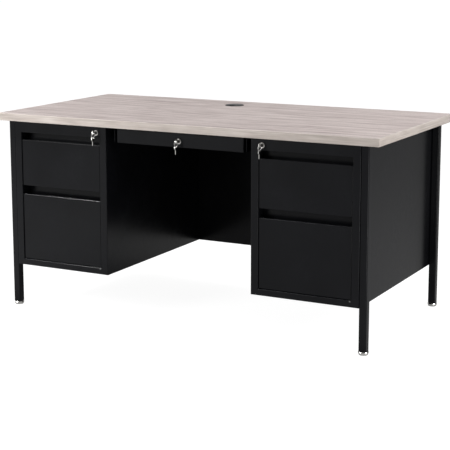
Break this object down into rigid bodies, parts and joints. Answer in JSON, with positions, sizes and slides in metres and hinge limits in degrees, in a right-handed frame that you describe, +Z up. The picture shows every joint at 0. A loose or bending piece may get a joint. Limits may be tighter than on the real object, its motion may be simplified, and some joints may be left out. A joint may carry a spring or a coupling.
{
  "type": "teacher desk",
  "caption": "Double-pedestal steel teacher desk with a laminate top, locking drawers on ball-bearing slides, a centre drawer, a modesty panel and levelling glides.",
  "frame": {"origin": "on the floor, under the middle of the desktop", "axes": "+X to the sitter's right along the length, +Y to the back, +Z up"},
  "size_m": [1.524, 0.7785, 0.7396],
  "materials": {
    "laminate": "matte wood-grain laminate",
    "edge_band": "matte, printed to match the laminate",
    "black_steel": "satin powder coat",
    "zinc_steel": "zinc plated",
    "bright_nickel": "bright nickel plate",
    "charcoal_plastic": "fine textured",
    "grey_rubber": "matt"
  },
  "bodies": {
    "desk": {"desktop": "laminate", "edge_band": "edge_band", "grommet_liner": "charcoal_plastic", "leg_front_left": "black_steel", "leg_front_right": "black_steel", "leg_rear_left": "black_steel", "leg_rear_right": "black_steel", "front_frame_left": "black_steel", "inner_side_left": "black_steel", "outer_side_left": "black_steel", "rear_panel_left": "black_steel", "bottom_pan_left": "black_steel", "front_frame_right": "black_steel", "inner_side_right": "black_steel", "outer_side_right": "black_steel", "rear_panel_right": "black_steel", "bottom_pan_right": "black_steel", "slide_brackets": "black_steel", "modesty_panel": "black_steel", "top_screws": "zinc_steel", "rail_buttons": "grey_rubber", "slide_cabinet_members": "zinc_steel", "centre_runners_fixed": "black_steel", "pedestal_lock_housings": "bright_nickel"},
    "grommet_cap": {"grommet_cap": "charcoal_plastic"},
    "glide_front_left": {"glide_front_left": "bright_nickel"},
    "glide_front_right": {"glide_front_right": "bright_nickel"},
    "glide_rear_left": {"glide_rear_left": "bright_nickel"},
    "glide_rear_right": {"glide_rear_right": "bright_nickel"},
    "drawer_upper_left": {"drawer_front_upper_left": "black_steel", "drawer_tray_upper_left": "black_steel", "slide_drawer_member_upper_left": "zinc_steel"},
    "slide_middle_upper_left": {"slide_middle_upper_left": "zinc_steel"},
    "drawer_lower_left": {"drawer_front_lower_left": "black_steel", "drawer_tray_lower_left": "black_steel", "slide_drawer_member_lower_left": "zinc_steel"},
    "slide_middle_lower_left": {"slide_middle_lower_left": "zinc_steel"},
    "drawer_upper_right": {"drawer_front_upper_right": "black_steel", "drawer_tray_upper_right": "black_steel", "slide_drawer_member_upper_right": "zinc_steel"},
    "slide_middle_upper_right": {"slide_middle_upper_right": "zinc_steel"},
    "drawer_lower_right": {"drawer_front_lower_right": "black_steel", "drawer_tray_lower_right": "black_steel", "slide_drawer_member_lower_right": "zinc_steel"},
    "slide_middle_lower_right": {"slide_middle_lower_right": "zinc_steel"},
    "centre_drawer": {"centre_drawer_front": "black_steel", "centre_drawer_tray": "black_steel", "centre_runners_moving": "zinc_steel", "centre_lock_housing": "bright_nickel"},
    "lock_left": {"lock_plug_left": "bright_nickel", "lock_key_left": "bright_nickel"},
    "key_ring_left": {"key_ring_left": "bright_nickel"},
    "lock_right": {"lock_plug_right": "bright_nickel", "lock_key_right": "bright_nickel"},
    "key_ring_right": {"key_ring_right": "bright_nickel"},
    "lock_centre": {"lock_plug_centre": "bright_nickel", "lock_key_centre": "bright_nickel"},
    "key_ring_centre": {"key_ring_centre": "bright_nickel"},
    "lock_bar_left": {"lock_bar_left": "zinc_steel"},
    "lock_bar_right": {"lock_bar_right": "zinc_steel"}
  },
  "joints": [
    {"name": "drawer_upper_left_slide", "type": "slide", "parent": "desk", "child": "drawer_upper_left", "axis": [0, -1, 0], "range_m": [0, 0.48]},
    {"name": "slide_middle_upper_left_travel", "type": "slide", "parent": "desk", "child": "slide_middle_upper_left", "axis": [0, -1, 0], "range_m": [0, 0.24]},
    {"name": "drawer_lower_left_slide", "type": "slide", "parent": "desk", "child": "drawer_lower_left", "axis": [0, -1, 0], "range_m": [0, 0.48]},
    {"name": "slide_middle_lower_left_travel", "type": "slide", "parent": "desk", "child": "slide_middle_lower_left", "axis": [0, -1, 0], "range_m": [0, 0.24]},
    {"name": "drawer_upper_right_slide", "type": "slide", "parent": "desk", "child": "drawer_upper_right", "axis": [0, -1, 0], "range_m": [0, 0.48]},
    {"name": "slide_middle_upper_right_travel", "type": "slide", "parent": "desk", "child": "slide_middle_upper_right", "axis": [0, -1, 0], "range_m": [0, 0.24]},
    {"name": "drawer_lower_right_slide", "type": "slide", "parent": "desk", "child": "drawer_lower_right", "axis": [0, -1, 0], "range_m": [0, 0.48]},
    {"name": "slide_middle_lower_right_travel", "type": "slide", "parent": "desk", "child": "slide_middle_lower_right", "axis": [0, -1, 0], "range_m": [0, 0.24]},
    {"name": "centre_drawer_slide", "type": "slide", "parent": "desk", "child": "centre_drawer", "axis": [0, -1, 0], "range_m": [0, 0.28]},
    {"name": "lock_left_turn", "type": "hinge", "parent": "desk", "child": "lock_left", "pos_m": [-0.335, -0.369, 0.686], "axis": [0, 1, 0], "range_deg": [0, 90]},
    {"name": "key_ring_left_swing", "type": "hinge", "parent": "lock_left", "child": "key_ring_left", "pos_m": [-0.335, -0.3885, 0.6844], "axis": [-1, 0, 0], "range_deg": [-15, 85]},
    {"name": "lock_right_turn", "type": "hinge", "parent": "desk", "child": "lock_right", "pos_m": [0.335, -0.369, 0.686], "axis": [0, -1, 0], "range_deg": [0, 90]},
    {"name": "key_ring_right_swing", "type": "hinge", "parent": "lock_right", "child": "key_ring_right", "pos_m": [0.335, -0.3885, 0.6844], "axis": [-1, 0, 0], "range_deg": [-15, 85]},
    {"name": "lock_centre_turn", "type": "hinge", "parent": "centre_drawer", "child": "lock_centre", "pos_m": [0, -0.352, 0.675], "axis": [0, 1, 0], "range_deg": [0, 90]},
    {"name": "key_ring_centre_swing", "type": "hinge", "parent": "lock_centre", "child": "key_ring_centre", "pos_m": [0, -0.3715, 0.6734], "axis": [-1, 0, 0], "range_deg": [-15, 85]},
    {"name": "lock_bar_left_drop", "type": "slide", "parent": "desk", "child": "lock_bar_left", "axis": [0, 0, -1], "range_m": [0, 0.01]},
    {"name": "lock_bar_right_drop", "type": "slide", "parent": "desk", "child": "lock_bar_right", "axis": [0, 0, -1], "range_m": [0, 0.01]},
    {"name": "glide_front_left_adjust", "type": "slide", "parent": "desk", "child": "glide_front_left", "axis": [0, 0, -1], "range_m": [0, 0.012]},
    {"name": "glide_front_right_adjust", "type": "slide", "parent": "desk", "child": "glide_front_right", "axis": [0, 0, -1], "range_m": [0, 0.012]},
    {"name": "glide_rear_left_adjust", "type": "slide", "parent": "desk", "child": "glide_rear_left", "axis": [0, 0, -1], "range_m": [0, 0.012]},
    {"name": "glide_rear_right_adjust", "type": "slide", "parent": "desk", "child": "glide_rear_right", "axis": [0, 0, -1], "range_m": [0, 0.012]},
    {"name": "grommet_cap_turn", "type": "hinge", "parent": "desk", "child": "grommet_cap", "pos_m": [-0.088, 0.245, 0.737], "axis": [0, 0, 1], "continuous": true}
  ],
  "couplings": [
    {"joint": "slide_middle_upper_left_travel", "follows": "drawer_upper_left_slide", "ratio": 0.5},
    {"joint": "slide_middle_lower_left_travel", "follows": "drawer_lower_left_slide", "ratio": 0.5},
    {"joint": "slide_middle_upper_right_travel", "follows": "drawer_upper_right_slide", "ratio": 0.5},
    {"joint": "slide_middle_lower_right_travel", "follows": "drawer_lower_right_slide", "ratio": 0.5},
    {"joint": "lock_left_turn", "follows": "lock_bar_left_drop", "rad_per_m": 157},
    {"joint": "lock_right_turn", "follows": "lock_bar_right_drop", "rad_per_m": 157}
  ]
}
